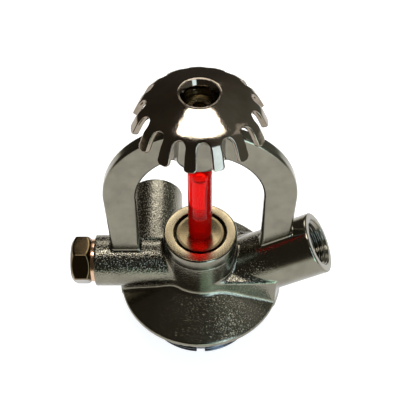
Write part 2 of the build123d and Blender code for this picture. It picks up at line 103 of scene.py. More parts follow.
def make_object(name: str, points: Points, faces: np.ndarray, matrix: Matrix | None = None,
                normals: Points | None = None, marks: dict[str, np.ndarray] | None = None,
                weld: float = 0.0) -> Object:
    """Puts a mesh into the scene with its place in its vertices.

    Args:
        name: Object name.
        points: (n, 3) vertex positions in millimetres.
        faces: (m, 4) vertex numbers, counter-clockwise from outside.
        matrix: Placement with its translation in millimetres, or None for the valve's own axes.
        normals: (n, 3) vertex normals, where the shape knows them exactly.
        marks: Float attributes on the vertices, by name.
        weld: Distance in millimetres within which vertices become one, or 0.

    Returns:
        The new object, smooth shaded.
    """
    if matrix is not None:
        m = np.array(matrix)
        points = points @ m[:3, :3].T + m[:3, 3]
    mesh = bpy.data.meshes.new(name)
    mesh.from_pydata((points * MM).tolist(), [], faces.tolist())
    if weld:
        shell = bmesh.new()
        shell.from_mesh(mesh)
        bmesh.ops.remove_doubles(shell, verts=shell.verts, dist=weld * MM)
        bmesh.ops.dissolve_degenerate(shell, dist=0.02 * weld * MM, edges=shell.edges)
        bmesh.ops.recalc_face_normals(shell, faces=shell.faces)
        shell.to_mesh(mesh)
        shell.free()
    mesh.polygons.foreach_set("use_smooth", np.ones(len(mesh.polygons), dtype=bool))
    for key, values in (marks or {}).items():
        layer = mesh.attributes.new(key, "FLOAT", "POINT")
        layer.data.foreach_set("value", np.asarray(values, dtype=np.float32))
    if normals is not None:
        mesh.normals_split_custom_set_from_vertices(normals.tolist())
    mesh.update()
    obj = bpy.data.objects.new(name, mesh)
    bpy.context.scene.collection.objects.link(obj)
    return obj


def grid_faces(rows: int, columns: int, ring: bool = True) -> np.ndarray:
    """Quads of a grid that closes round the axis, and along its profile too where it is a ring.

    Where it isn't a ring, the first and last rows lie at one point each, and weld there.

    Args:
        rows: Points along the profile.
        columns: Points round the axis.
        ring: Whether the last row joins the first.

    Returns:
        (m, 4) vertex numbers.
    """
    i, j = np.meshgrid(np.arange(rows if ring else rows - 1), np.arange(columns), indexing="ij")
    a, b = (i + 1) % rows, (j + 1) % columns
    return np.stack([i * columns + j, a * columns + j, a * columns + b, i * columns + b], -1).reshape(-1, 4)


def circle(columns: int) -> np.ndarray:
    """Even angles once round the axis, as one row."""
    return np.linspace(0.0, 2 * np.pi, columns, endpoint=False)[None, :]


def stacked(columns: int, *parts: np.ndarray | list[list[float]]) -> np.ndarray:
    """Stacks arrays of one column or all columns into one array of all columns."""
    return np.concatenate([np.broadcast_to(np.array(p, dtype=float), (len(p), columns)) for p in parts])


def revolved(r: np.ndarray, z: np.ndarray, a: np.ndarray) -> Points:
    """Points (r cos a, r sin a, z) of every row at every angle a, as an (n, 3) array."""
    return np.stack(np.broadcast_arrays(r * np.cos(a), r * np.sin(a), z), -1).reshape(-1, 3)


def ramp(x: np.ndarray, start: float, width: float) -> np.ndarray:
    """Straight rise from 0 at the start to 1 a width further on."""
    return np.clip((x - start) / width, 0.0, 1.0)


def eased(t: np.ndarray) -> np.ndarray:
    """Smooth step from 0 to 1: t^2 (3 - 2 t)."""
    return t * t * (3 - 2 * t)


def rounded_outline(corners: Corners, steps: int = 6) -> Points:
    """Closed half profile with its corners eased.

    At a corner C with eased length t, the points A and B lie t along the two edges, and the
    curve is (1-s)^2 A + 2 s (1-s) C + s^2 B for s from 0 to 1.

    Args:
        corners: (radius, z, eased length) of each corner, in order.
        steps: Points per corner.

    Returns:
        (len(corners) * steps, 2) array of radius and z.
    """
    data = np.array(corners, dtype=float)
    c, t = data[:, :2], data[:, 2:3]
    before, after = np.roll(c, 1, axis=0) - c, np.roll(c, -1, axis=0) - c
    long_b = np.linalg.norm(before, axis=1, keepdims=True)
    long_a = np.linalg.norm(after, axis=1, keepdims=True)
    start = c + before / long_b * np.minimum(t, 0.49 * long_b)
    stop = c + after / long_a * np.minimum(t, 0.49 * long_a)
    s = np.linspace(0.0, 1.0, steps)[None, :, None]
    curve = (1 - s) ** 2 * start[:, None] + 2 * s * (1 - s) * c[:, None] + s ** 2 * stop[:, None]
    return curve.reshape(-1, 2)


def turned_ring(name: str, corners: Corners, columns: int = 160, matrix: Matrix | None = None) -> Object:
    """A lathe-turned ring: the closed profile (r, z) goes to (r cos a, r sin a, z) for every angle a.

    Args:
        name: Object name.
        corners: (radius, z, eased length) of each corner, counter-clockwise with r to the right.
        columns: Points round the axis.
        matrix: Placement in millimetres, or None for the valve's own axis.

    Returns:
        The new object.
    """
    outline = rounded_outline(corners)
    points = revolved(outline[:, :1], outline[:, 1:], circle(columns))
    return make_object(name, points, grid_faces(len(outline), columns), matrix, weld=WELD)


# ---- implicit solids ----------------------------------------------------------------------

def common(*parts: np.ndarray) -> np.ndarray:
    """Common part of forms, with sharp edges: the largest of their distances."""
    return reduce(np.maximum, parts)


def joined(*parts: np.ndarray) -> np.ndarray:
    """Union of forms, with sharp corners: the smallest of their distances."""
    return reduce(np.minimum, parts)


def fused(a: np.ndarray, b: np.ndarray, k: float) -> np.ndarray:
    """Union with a fillet of about k: min(a, b) - h^2 / 4k, where h = max(k - |a - b|, 0)."""
    h = np.maximum(k - np.abs(a - b), 0.0)
    return np.minimum(a, b) - h * h / (4.0 * k)


def met(a: np.ndarray, b: np.ndarray, k: float) -> np.ndarray:
    """Common part with its edge eased by about k: the fused union of the two outsides."""
    h = np.maximum(k - np.abs(a - b), 0.0)
    return np.maximum(a, b) + h * h / (4.0 * k)


def stepped_bore(across: np.ndarray, depth: np.ndarray, steps: Sequence[Pair]) -> np.ndarray:
    """A bore of several widths, each of (radius, depth of its far end), from its mouth inwards."""
    return joined(*[np.maximum(across - r, depth - end) for r, end in steps])


def slope_of(distance: Distance, points: Points, reach: float = 0.02) -> Points:
    """Gradient of the distance at the points, by central differences over twice the reach."""
    steps = reach * np.eye(3)[:, :, None]
    return np.stack([distance(points.T + d) - distance(points.T - d) for d in steps], -1) / (2 * reach)


def skin_of(distance: Distance, low: Triple, high: Triple, step: float,
            slab: int = 24, slides: int = 3) -> tuple[Points, np.ndarray, Points]:
    """Skin of the solid where the distance is below 0, by surface nets.

    Every grid cell that the surface crosses gets one vertex, at the mean of the crossings on
    its edges, and every crossed grid edge gets one quad between its four cells. The vertices
    then slide onto the surface along the gradient g of the distance f: p - f g / |g|^2.

    Args:
        distance: Signed distance in millimetres, whole arrays in and out.
        low: Lowest corner of the grid.
        high: Highest corner of the grid.
        step: Grid spacing.
        slab: Grid planes worked out at a time, which bounds the memory.
        slides: How often the vertices slide.

    Returns:
        Vertices, quads and the vertices' outward normals.
    """
    axes = [np.arange(a, b + step, step, dtype=np.float32) for a, b in zip(low, high)]
    values = np.empty([len(a) for a in axes], dtype=np.float32)
    for start in range(0, len(axes[0]), slab):
        block = axes[0][start:start + slab]
        values[start:start + slab] = distance((block[:, None, None], axes[1][:, None], axes[2]))
    shape = np.array(values.shape) - 1
    strides = np.array([shape[1] * shape[2], shape[2], 1])
    count = np.zeros(int(shape.prod()), dtype=np.float32)
    total = np.zeros((3, int(shape.prod())), dtype=np.float64)
    quads = []
    for axis in range(3):
        first = np.take(values, np.arange(values.shape[axis] - 1), axis)
        second = np.take(values, np.arange(1, values.shape[axis]), axis)
        where = np.argwhere((first < 0) != (second < 0))
        a, b = first[tuple(where.T)], second[tuple(where.T)]
        crossing = where.astype(np.float64)
        crossing[:, axis] += a / (a - b)
        u, v = (axis + 1) % 3, (axis + 2) % 3
        around = []
        for du, dv in ((0, 0), (1, 0), (1, 1), (0, 1)):
            cell = where.copy()
            cell[:, u] -= du
            cell[:, v] -= dv
            number = cell @ strides
            around.append(number)
            count += np.bincount(number, minlength=len(count))
            for k in range(3):
                total[k] += np.bincount(number, weights=crossing[:, k], minlength=len(count))
        quad = np.stack(around, -1)
        quad[a > 0] = quad[a > 0][:, ::-1]
        quads.append(quad)
    used = np.flatnonzero(count)
    number_of = np.full(len(count), -1, dtype=np.int64)
    number_of[used] = np.arange(len(used))
    points = (total[:, used] / count[used]).T * step + np.array([a[0] for a in axes])
    for _ in range(slides):
        gradient = slope_of(distance, points)
        points -= gradient * (distance(points.T) / np.maximum((gradient ** 2).sum(1), 0.25))[:, None]
    gradient = slope_of(distance, points)
    normals = gradient / np.maximum(np.linalg.norm(gradient, axis=1, keepdims=True), 1e-9)
    return points, number_of[np.concatenate(quads)], normals


# ---- materials ----------------------------------------------------------------------------

def linear(code: str) -> tuple[float, float, float, float]:
    """Linear RGBA of an sRGB hex colour such as "#8f8a82"."""
    parts = [int(code[k:k + 2], 16) / 255 for k in (1, 3, 5)]
    return *(c / 12.92 if c <= 0.04045 else ((c + 0.055) / 1.055) ** 2.4 for c in parts), 1.0


def add(tree: NodeTree, kind: str, values: dict[Any, Any] | None = None) -> Node:
    """Adds a node with its settings and links.

    Args:
        tree: Node tree that gets it.
        kind: Node type without the ShaderNode in front.
        values: By property name, input name or input number, what to set it to. An output
            socket is plugged in, and a node's first output stands for the node.

    Returns:
        The node.
    """
    node = tree.nodes.new("ShaderNode" + kind)
    for key, value in (values or {}).items():
        if isinstance(value, Node):
            value = value.outputs[0]
        if isinstance(value, NodeSocket):
            tree.links.new(value, node.inputs[key])
        elif isinstance(key, str) and hasattr(node, key):
            setattr(node, key, value)
        else:
            node.inputs[key].default_value = value
    return node


def new_material(name: str) -> tuple[Material, NodeTree, NodeSocket]:
    """Starts a node material.

    Args:
        name: Material name.

    Returns:
        The material, its empty tree and the Object coordinates.
    """
    material = bpy.data.materials.new(name)
    material.use_nodes = True
    tree = material.node_tree
    tree.nodes.clear()
    return material, tree, add(tree, "TexCoord").outputs["Object"]


@dataclass(frozen=True)
class MetalFinish:
    """A metal surface, with the marks that its making leaves.

    The tone drifts between two colours in soft blotches. Cast grain is noise of the size of
    moulding sand, and turning marks are rings about the axis. Real sand is about 0.15 mm and a
    real turning feed about 0.05 mm: both are too fine to show, so they are drawn coarser.
    """

    name: str
    colour: str
    tone: str
    roughness: float
    blotch_mm: float = 4.0
    grain_mm: float = 0.35
    grain_height_mm: float = 0.0
    turning_mm: float = 0.12
    turning_height_mm: float = 0.0
    roughness_drift: float = 0.06
    centre_mm: Triple = (0.0, 0.0, 0.0)
    turn_deg: Triple = (0.0, 0.0, 0.0)
    sand_cast: bool = False

    def material(self) -> Material:
        """Builds the node material.

        On a sand casting the grain is noise^4, so that it stands up in sparse grains, times the
        skin's own share of it. The more share, the more the metal between the grains shines.

        Returns:
            The material.
        """
        material, tree, where = new_material(self.name)
        where = add(tree, "Mapping", {
            "vector_type": "TEXTURE", "Location": [c * MM for c in self.centre_mm],
            "Rotation": [math.radians(a) for a in self.turn_deg], "Vector": where})
        blotch = add(tree, "TexNoise", {
            "Scale": 1 / (self.blotch_mm * MM), "Detail": 4.0, "Roughness": 0.6, "Vector": where})
        spread = add(tree, "MapRange", {"From Min": 0.35, "From Max": 0.65, "Value": blotch})
        colour = add(tree, "Mix", {
            "data_type": "RGBA", 6: linear(self.colour), 7: linear(self.tone), 0: spread}).outputs[2]
        rough = add(tree, "MapRange", {
            "From Min": 0.3, "From Max": 0.7, "To Min": self.roughness - self.roughness_drift,
            "To Max": self.roughness + self.roughness_drift, "Value": blotch})
        bump: dict[str, Node] = {}
        if self.grain_height_mm:
            grain = add(tree, "TexNoise", {
                "Scale": 1 / (self.grain_mm * MM), "Detail": 1.5, "Roughness": 0.5, "Vector": where})
            if self.sand_cast:
                share = add(tree, "Attribute", {"attribute_name": "grain"}).outputs["Fac"]
                grain = add(tree, "Math", {"operation": "POWER", 0: grain, 1: 4.0})
                grain = add(tree, "Math", {"operation": "MULTIPLY", 0: grain, 1: share})
                rough = add(tree, "Math", {"operation": "MULTIPLY_ADD", 0: share, 1: -0.08, 2: rough})
                rough = add(tree, "Math", {"operation": "MULTIPLY_ADD", 0: grain, 1: 0.8, 2: rough})
            bump["Normal"] = add(tree, "Bump", {"Distance": self.grain_height_mm * MM, "Height": grain})
        if self.turning_height_mm:
            parts = add(tree, "SeparateXYZ", {0: where}).outputs
            flat = add(tree, "CombineXYZ", {0: parts[0], 1: parts[1]})
            radius = add(tree, "VectorMath", {"operation": "LENGTH", 0: flat}).outputs["Value"]
            ring = add(tree, "CombineXYZ", {0: radius, 2: parts[2]})
            marks = add(tree, "TexNoise", {
                "Scale": 1 / (self.turning_mm * MM), "Detail": 2.0, "Vector": ring})
            bump["Normal"] = add(tree, "Bump", {
                "Distance": self.turning_height_mm * MM, "Height": marks, **bump})
        shader = add(tree, "BsdfPrincipled", {
            "Metallic": 1.0, "Base Color": colour, "Roughness": rough, **bump})
        add(tree, "OutputMaterial", {"Surface": shader})
        return material


@dataclass(frozen=True)
class PlainFinish:
    """Rubber, fibre, glass or a liquid: a noise may drift its tone, raise its skin, or both."""

    name: str
    colour: str
    tone: str | None
    roughness: float
    index: float
    noise_mm: float
    height_mm: float = 0.0
    detail: float = 1.0
    clearness: float = 0.0
    gleam: str = "#ffffff"

    def material(self) -> Material:
        """Builds the node material.

        Returns:
            The material.
        """
        material, tree, where = new_material(self.name)
        noise = add(tree, "TexNoise", {
            "Scale": 1 / (self.noise_mm * MM), "Detail": self.detail, "Vector": where})
        values = {"Base Color": linear(self.colour), "Roughness": self.roughness, "IOR": self.index,
                  "Transmission Weight": self.clearness, "Specular Tint": linear(self.gleam)}
        if self.tone:
            values["Base Color"] = add(tree, "Mix", {
                "data_type": "RGBA", 6: linear(self.colour), 7: linear(self.tone), 0: noise}).outputs[2]
        if self.height_mm:
            values["Normal"] = add(tree, "Bump", {"Distance": self.height_mm * MM, "Height": noise})
        add(tree, "OutputMaterial", {"Surface": add(tree, "BsdfPrincipled", values)})
        return material


PORT_AXIS = {"turn_deg": (0.0, 90.0, 0.0), "centre_mm": (0.0, 0.0, 7.9)}


class Coat(Enum):
    """Every finish on the valve."""

    # satin nickel over sand-cast brass: a soft, warm grey mirror that the sand's grain breaks up
    NICKEL = MetalFinish("nickel_plated_casting", "#807b6c", "#746f62", 0.18, grain_mm=0.28,
                         grain_height_mm=0.14, roughness_drift=0.03, sand_cast=True)
    # nickel on a cut thread, painted cooler and darker as shade: the neck stands in the flange's shadow, and
    # that shade is painted into its colour
    THREAD = MetalFinish("nickel_plated_thread", "#63656a", "#54565c", 0.22, grain_height_mm=0.02)
    # bright nickel on pressed sheet: close to a mirror, with a faint ripple from the press tool
    PLATE = MetalFinish("nickel_plated_stamping", "#8d8173", "#7d7162", 0.11, grain_mm=0.8,
                        grain_height_mm=0.014, roughness_drift=0.03)
    # turned brass that has dulled: pale straw yellow, with the tool's fine rings
    BRASS = MetalFinish("turned_brass", "#b0a07f", "#9b8b6d", 0.24, turning_height_mm=0.006)
    # turned bronze: the same rings in a browner metal
    BRONZE = MetalFinish("turned_bronze", "#857659", "#736447", 0.26, turning_height_mm=0.006)
    # drawn hexagon bar, oiled and brown: smooth flats that mirror dark
    BAR = MetalFinish("drawn_bronze_bar", "#66573e", "#564731", 0.15, turning_height_mm=0.004, **PORT_AXIS)
    # annealed copper: soft, pink and a little hazy
    COPPER = MetalFinish("annealed_copper", "#d6b294", "#c09877", 0.2, turning_height_mm=0.004, **PORT_AXIS)
    # drawn spring wire: neutral grey with a dull shine
    STEEL = MetalFinish("spring_steel", "#9a9a98", "#7f7f7d", 0.3, turning_height_mm=0.002)
    # moulded nitrile rubber: near black, with a matt skin
    RUBBER = PlainFinish("moulded_rubber", "#1b1c1e", "#26282a", 0.55, 1.52, 0.15, 0.01, 4.0)
    # pressed fibre sheet: grey brown and quite dull
    FIBRE = PlainFinish("pressed_fibre", "#8b8378", "#6f675d", 0.8, 1.52, 0.15, 0.01, 4.0)
    # fire-polished tube, all but colourless. Its real index is 1.47: it is lower here and the
    # gleam is dulled, because the white floor would otherwise lie over the red as a veil
    GLASS = PlainFinish("borosilicate_glass", "#fbfdfc", None, 0.01, 1.2, 3.0, 0.02,
                        clearness=1.0, gleam="#484848")
    # gas in the liquid: it bends light the other way, which draws its pale rim
    GAS = PlainFinish("trapped_gas", "#e8ecd8", None, 0.01, 0.78, 3.0, 0.02, clearness=1.0)
    # glycerine with red dye: it wets the glass, so it shows hardly any surface of its own, and
    # the dye scatters what it doesn't let through
    LIQUID = PlainFinish("dyed_glycerine", "#f01008", "#c80804", 0.04, 1.04, 6.0, clearness=0.76)

    @cache
    def material(self) -> Material:
        """The finish's material, made once."""
        return self.value.material()


def dress(obj: Object, coat: Coat) -> None:
    """Gives an object one finish, in every slot that it has.

    Args:
        obj: The object.
        coat: Its finish.
    """
    if not obj.data.materials:
        obj.data.materials.append(coat.material())
    for slot in obj.material_slots:
        slot.material = coat.material()


def fit(obj: Object, coat: Coat, slot: Slot, *nodes: str, body: str = "root") -> None:
    """Dresses a piece, puts it on its body in place of the CAD nodes, and reports it.

    Args:
        obj: The finished mesh.
        coat: Finish that it shows.
        slot: Material slot that it belongs to; not used.
        nodes: CAD nodes that it stands for.
        body: Name of the body that it moves with.
    """
    dress(obj, coat)
    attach(obj, body)
    if nodes:
        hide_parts(*nodes)
    count = len(obj.data.polygons)
    log.info("%s: %d faces on %s, for %s", obj.name, count, body, ", ".join(nodes) or "none")


# ---- cast body ----------------------------------------------------------------------------

class Form(Enum):
    """The forms that the casting is made of."""

    FLANGE = auto()
    HUB = auto()
    FILL = auto()
    GAUGE = auto()
    REAR = auto()
    YOKE = auto()
    NOSE = auto()


@dataclass
class CastBody:
    """The plated brass casting above the neck: flange, hub, three tubes, yoke and nose."""

    flange_r: float = 18.5
    cone_rim: Pair = (18.25, 1.3)
    flange_edges: Pair = (0.35, 0.3)
    hub_r: float = 8.25
    hub_foot_z: float = 6.2
    hub_top_z: float = 15.35
    port_z: float = 7.9
    fill_r: float = 5.85
    fill_end: float = 23.9
    web_half: float = 3.7
    web_flare: float = 0.1388
    gauge_r: float = 7.0
    gauge_reach: float = 30.75
    gauge_tilt: float = 30.0
    gauge_root_z: float = -1.0
    gauge_start: float = 2.0
    block_half: float = 7.4
    block_top: float = 8.9
    block_slope: Pair = (0.97, 0.243)
    block_edge: float = 0.7
    block_fillet: float = 0.8
    foot_z: float = 0.65
    rear_r: float = 6.5
    rear_x: float = -10.7
    rear_start: float = 1.5
    rear_end: float = 19.0
    yoke_outer: float = 20.4
    yoke_inner: float = 13.4
    yoke_half: float = 1.5
    yoke_z: float = 31.3
    yoke_leg: float = 19.3
    yoke_lean: float = 0.6
    yoke_edge: float = 0.75
    nose_r: float = 5.3
    nose_tip: Pair = (3.3, 41.6)
    nose_slope: Pair = (0.818, 0.575)
    nose_half: float = 2.9
    nose_flare: float = 0.14
    nose_flare_z: float = 42.0
    nose_top: float = 59.1
    nose_edge: float = 0.5
    tip_edge: float = 0.3
    way_r: float = 4.0
    way_foot_z: float = 1.5
    way_top_z: float = 11.0
    way_flare: float = 1.2444
    way_slant: float = 1.596
    bush_hole: Triple = (7.0, 10.45, 20.0)
    groove: Triple = (15.3, 0.95, 1.1)
    screw_hole: Pair = (3.04, 48.4)
    pin_hole: Pair = (1.54, 49.6)
    crown_low_z: float = 40.0
    bores: dict[Port, tuple[Pair, ...]] = field(default_factory=lambda: {
        Port.FILL: ((4.04, 5.3), (3.3, 11.5), (1.5, 23.9)),
        Port.GAUGE: ((5.25, 8.7), (3.3, 14.9), (1.5, 26.75)),
        Port.REAR: ((5.25, 8.7), (3.3, 14.9), (1.5, 19.0))})
    fillet: float = 0.9
    yoke_fillet: float = 0.6
    mouth_edge: float = 0.45
    bore_edge: float = 0.25
    box: tuple[Triple, Triple] = ((-24.4, -19.1, -0.6), (30.8, 19.7, 59.8))
    step: float = 0.36
    grain_share: dict[Form, float] = field(default_factory=lambda: {
        Form.FLANGE: 0.38, Form.HUB: 0.35, Form.FILL: 1.2, Form.GAUGE: 0.12, Form.REAR: 1.4,
        Form.YOKE: 0.0, Form.NOSE: 0.0})
    coarse_side: Triple = (0.6, 3.0, 5.0)
    coarse_corner: Triple = (0.9, -19.0, 6.0)
    seam: float = 0.25
    bare: Pair = (0.1, 0.3)

    def mouth(self, port: Port) -> Matrix:
        """Placement of a port's mouth, with its own +Z pointing out along its bore.

        Args:
            port: Which port.

        Returns:
            The placement in millimetres.
        """
        if port is Port.FILL:
            return tilted((-self.fill_end, 0.0, self.port_z), -90.0)
        if port is Port.REAR:
            return tilted((self.rear_x, self.rear_end, self.port_z), 0.0, -90.0)
        tilt = math.radians(self.gauge_tilt)
        return tilted((self.gauge_reach * math.cos(tilt), 0.0,
                       self.gauge_reach * math.sin(tilt) + self.gauge_root_z), 90.0 - self.gauge_tilt)

    def gauge_line(self, at: Place) -> tuple[np.ndarray, np.ndarray]:
        """How far points lie along the gauge tube's axis, from its root, and how far off it.

        Args:
            at: x, y and z in millimetres, which broadcast together.

        Returns:
            The distance along the axis and the distance from it.
        """
        x, y, z = at
        tilt, up = math.radians(self.gauge_tilt), z - self.gauge_root_z
        along = x * math.cos(tilt) + up * math.sin(tilt)
        return along, np.sqrt(np.maximum(x * x + y * y + up ** 2 - along ** 2, 0.0))

    def forms(self, at: Place) -> dict[Form, np.ndarray]:
        """Signed distances to the forms that make up the casting.

        The flange is a disc under a cone, and the hub, the tubes and the nose are round, each cut
        off where it ends. A web carries the fill tube and a block with a sloping top the gauge
        tube. The yoke is a half ring on two legs that lean in, and the nose has a cone below and
        two flats that part upwards.

        Args:
            at: x, y and z in millimetres, which broadcast together.

        Returns:
            Distance of every form.
        """
        x, y, z = at
        r = np.hypot(x, y)
        rim_r, rim_z = self.cone_rim
        run, rise = rim_r - self.hub_r, self.hub_foot_z - rim_z
        cone = ((r - rim_r) * rise + (z - rim_z) * run) / math.hypot(run, rise)
        upper_edge, lower_edge = self.flange_edges
        flange = met(met(r - self.flange_r, cone, upper_edge), -z, lower_edge)
        hub = common(r - self.hub_r, z - self.hub_top_z)

        fill = met(np.hypot(y, z - self.port_z) - self.fill_r, -self.fill_end - x, self.mouth_edge)
        half = self.web_half + (x + self.flange_r) * self.web_flare
        web = common(np.abs(y) - half, z - self.port_z, r - self.flange_r, x, -z)
        fill = fused(common(fill, x), web, self.fillet)

        along, off = self.gauge_line(at)
        gauge = met(off - self.gauge_r, along - self.gauge_reach, self.mouth_edge)
        side = np.abs(y) - self.block_half
        top = (z - self.block_top) * self.block_slope[0] + side * self.block_slope[1]
        block = common(met(side, top, self.block_edge), r - self.flange_r, -x, self.foot_z - z)
        gauge = common(gauge, self.gauge_start - along, self.foot_z - z)
        gauge = fused(gauge, block, self.block_fillet)

        rear = np.hypot(x - self.rear_x, z - self.port_z) - self.rear_r
        rear = common(met(rear, y - self.rear_end, self.mouth_edge), self.rear_start - y)

        up = z - self.yoke_z
        ring = np.hypot(x, np.maximum(up, 0.0))
        outer = self.yoke_outer - self.yoke_lean * ramp(-up, 0.0, self.yoke_leg)
        yoke = common(ring - outer, self.yoke_inner - ring)
        yoke = met(yoke, np.abs(y) - self.yoke_half, self.yoke_edge)
        yoke = common(yoke, self.port_z - z)

        tip_r, tip_z = self.nose_tip
        taper = (r - tip_r) * self.nose_slope[0] - (z - tip_z) * self.nose_slope[1]
        nose = met(met(r - self.nose_r, taper, self.nose_edge), tip_z - z, self.tip_edge)
        flats = np.abs(y) - self.nose_half - self.nose_flare * np.maximum(z - self.nose_flare_z, 0.0)
        nose = common(met(nose, flats, self.nose_edge), z - self.nose_top)
        return dict(zip(Form, (flange, hub, fill, gauge, rear, yoke, nose)))

    def hollows(self, at: Place) -> np.ndarray:
        """Signed distance to all that is bored out: gas way, bush hole, seal groove, ports and crown.

        Args:
            at: x, y and z in millimetres, which broadcast together.

        Returns:
            The distance.
        """
        x, y, z = at
        r = np.hypot(x, y)
        flare = (r - self.way_r - (self.way_foot_z - z) * self.way_flare) / self.way_slant
        way = common(np.where(z < self.way_foot_z, flare, r - self.way_r), z - self.way_top_z)
        bush_r, bush_low, bush_high = self.bush_hole
        bush = common(r - bush_r, bush_low - z, z - bush_high)
        groove_r, groove_half, groove_top = self.groove
        groove = common(np.abs(r - groove_r) - groove_half, z - groove_top)
        along, off = self.gauge_line(at)
        up = z - self.port_z
        crown = joined(common(r - self.screw_hole[0], self.screw_hole[1] - z),
                       common(r - self.pin_hole[0], z - self.pin_hole[1]))
        return joined(
            way, bush, groove, common(crown, self.crown_low_z - z),
            stepped_bore(np.hypot(y, up), x + self.fill_end, self.bores[Port.FILL]),
            stepped_bore(off, self.gauge_reach - along, self.bores[Port.GAUGE]),
            stepped_bore(np.hypot(x - self.rear_x, up), self.rear_end - y, self.bores[Port.REAR]))

    def distance(self, at: Place) -> np.ndarray:
        """Signed distance to the finished casting: the forms with cast fillets, less the hollows.

        Args:
            at: x, y and z in millimetres, which broadcast together.

        Returns:
            The distance.
        """
        forms = self.forms(at)
        solid = forms[Form.FLANGE]
        for form in (Form.HUB, Form.FILL, Form.REAR, Form.GAUGE):
            solid = fused(solid, forms[form], self.fillet)
        solid = common(fused(solid, forms[Form.YOKE], self.yoke_fillet), -at[2])
        solid = fused(solid, forms[Form.NOSE], self.fillet)
        return met(solid, -self.hollows(at), self.bore_edge)

    def build(self) -> None:
        """Builds the casting, with the share of rough cast grain as a vertex attribute.

        Near a seam between forms their shares mix by exp(-distance / seam), and machined faces
        are bare, as far as their edges.
        """
        points, faces, normals = skin_of(self.distance, *self.box, self.step)
        x, y, z = points.T
        forms = self.forms(points.T)
        share = {form: np.full(len(x), base) for form, base in self.grain_share.items()}
        # the sand was coarser on the flange's right side and in the corner of the gauge tube:
        # how much, from where along x and over what width
        more, *rise = self.coarse_side
        share[Form.FLANGE] += more * ramp(x, *rise)
        more, *rise = self.coarse_corner
        share[Form.GAUGE] += more * ramp(-x, *rise)
        near = np.stack([forms[form] for form in share])
        weight = np.exp(-(near - near.min(0)) / self.seam)
        grain = (weight * np.stack(list(share.values()))).sum(0) / weight.sum(0)
        machined = np.abs(np.stack([
            z, x + self.fill_end, y - self.rear_end, self.gauge_line(points.T)[0] - self.gauge_reach,
            self.hollows(points.T), z - self.nose_top])).min(0)
        grain *= ramp(machined, *self.bare)
        fit(make_object("cast_body", points, faces, normals=normals, marks={"grain": grain}),
            Coat.NICKEL, Slot.NICKEL, "valve_body")


# ---- threads ------------------------------------------------------------------------------

def ridge(phase: np.ndarray, land: float = 0.12, flank: float = 0.76, ease: float = 0.35) -> np.ndarray:
    """Height, 0 to 1, of a V thread at a phase in turns: a triangle wave cut flat at crest and root."""
    flat = ramp(np.abs((phase % 1.0) - 0.5) * 2.0, land, flank)
    return eased(flat) * ease + flat * (1 - ease)


@dataclass
class ThreadedNeck:
    """The neck: an external fine thread with a relief slot, round a wide cavity."""

    crest_r: float = 13.5
    depth: float = 0.92
    pitch: float = 1.5
    length: float = 11.5
    land: float = 1.6
    chamfer: float = 0.95
    top_z: float = 0.3
    throat_r: float = 5.52
    cavity_r: float = 9.6
    cavity_top: float = -3.0
    slot_deg: float = 270.0
    slot_half: float = 1.0
    slot_floor_r: float = 12.1
    slot_run: float = 0.5
    run_out: float = 0.7
    row: float = 0.13
    columns: int = 240

    def from_slot(self, angle: np.ndarray) -> np.ndarray:
        """Degrees, 0 to 180, between an angle and the slot's middle."""
        return np.abs((angle - self.slot_deg + 180.0) % 360.0 - 180.0)

    def build(self) -> None:
        """Builds the neck.

        On the outside r = crest - depth * (1 - ridge(z / pitch - angle / 2 pi)), faded out over
        the land and cut back by the chamfer at the lower end. In the slot r is at most its floor.
        The columns stand close together at the slot's two edges.
        """
        edge = math.degrees(math.asin(self.slot_half / self.crest_r))
        angle = np.linspace(0.0, 360.0, self.columns, endpoint=False)
        beside = np.array([edge - 0.5, edge - 0.05, edge + 0.05, edge + 0.35])
        beside = self.slot_deg + np.concatenate([-beside, [0.0], beside])
        angle = np.sort(np.concatenate([angle[self.from_slot(angle) > edge + 0.6], beside]))
        a = np.radians(angle)[None, :]
        z = np.arange(0.3 - self.land, -self.length + 0.05, -self.row)
        z = np.concatenate([[self.top_z, 0.0, -0.9], z, [-self.length]])[:, None]
        fade = ramp(-z, self.land - 0.2, self.run_out)
        r = self.crest_r - self.depth * (1 - ridge(z / self.pitch - a / (2 * np.pi))) * fade
        r = np.minimum(r, self.crest_r - self.chamfer + (z + self.length))
        floor = self.crest_r + (self.slot_floor_r - self.crest_r) * ramp(-z, self.land, self.slot_run)
        r = np.where(self.from_slot(angle) < edge, np.minimum(r, floor), r)
        inner = np.array([
            (self.cavity_r + 0.3, -self.length), (self.cavity_r, -self.length + 0.3),
            (self.cavity_r, -6.0), (self.cavity_r, self.cavity_top), (self.throat_r, self.top_z)])
        points = revolved(stacked(a.size, r, inner[:, :1]), stacked(a.size, z, inner[:, 1:]), a)
        faces = grid_faces(len(z) + len(inner), a.size)[:, ::-1]
        # the neck's dark finish carries painted shade from the flange above it
        fit(make_object("neck_thread", points, faces, weld=WELD), Coat.THREAD, Slot.NICKEL)


@dataclass
class PortThread:
    """Internal thread of an open port, as a liner that stands in the casting's bore."""

    port: Port
    matrix: Matrix
    crest_r: float = 5.0
    root_r: float = 4.46
    back_r: float = 5.6
    mouth_r: float = 5.28
    mouth_flare: float = 0.95
    pitch: float = 1.0
    depth: float = 8.7
    row: float = 0.1
    columns: int = 144

    def build(self) -> None:
        """Builds the liner: r = crest - (crest - root) ridge(z / pitch - angle / 2 pi)."""
        a = circle(self.columns)
        z = np.concatenate([[-0.25], np.arange(-0.35, -self.depth, -self.row), [-self.depth]])[:, None]
        r = self.crest_r - (self.crest_r - self.root_r) * ridge(z / self.pitch - a / (2 * np.pi))
        r = stacked(a.size, np.maximum(r, self.mouth_r + z * self.mouth_flare), [[self.back_r]] * 2)
        points = revolved(r, stacked(a.size, z, [[-self.depth], [-0.6]]), a)
        faces = grid_faces(len(r), a.size)
        fit(make_object(f"{self.port.value}_port_thread", points, faces, self.matrix, weld=WELD),
            Coat.NICKEL, Slot.NICKEL)


# ---- deflector ----------------------------------------------------------------------------

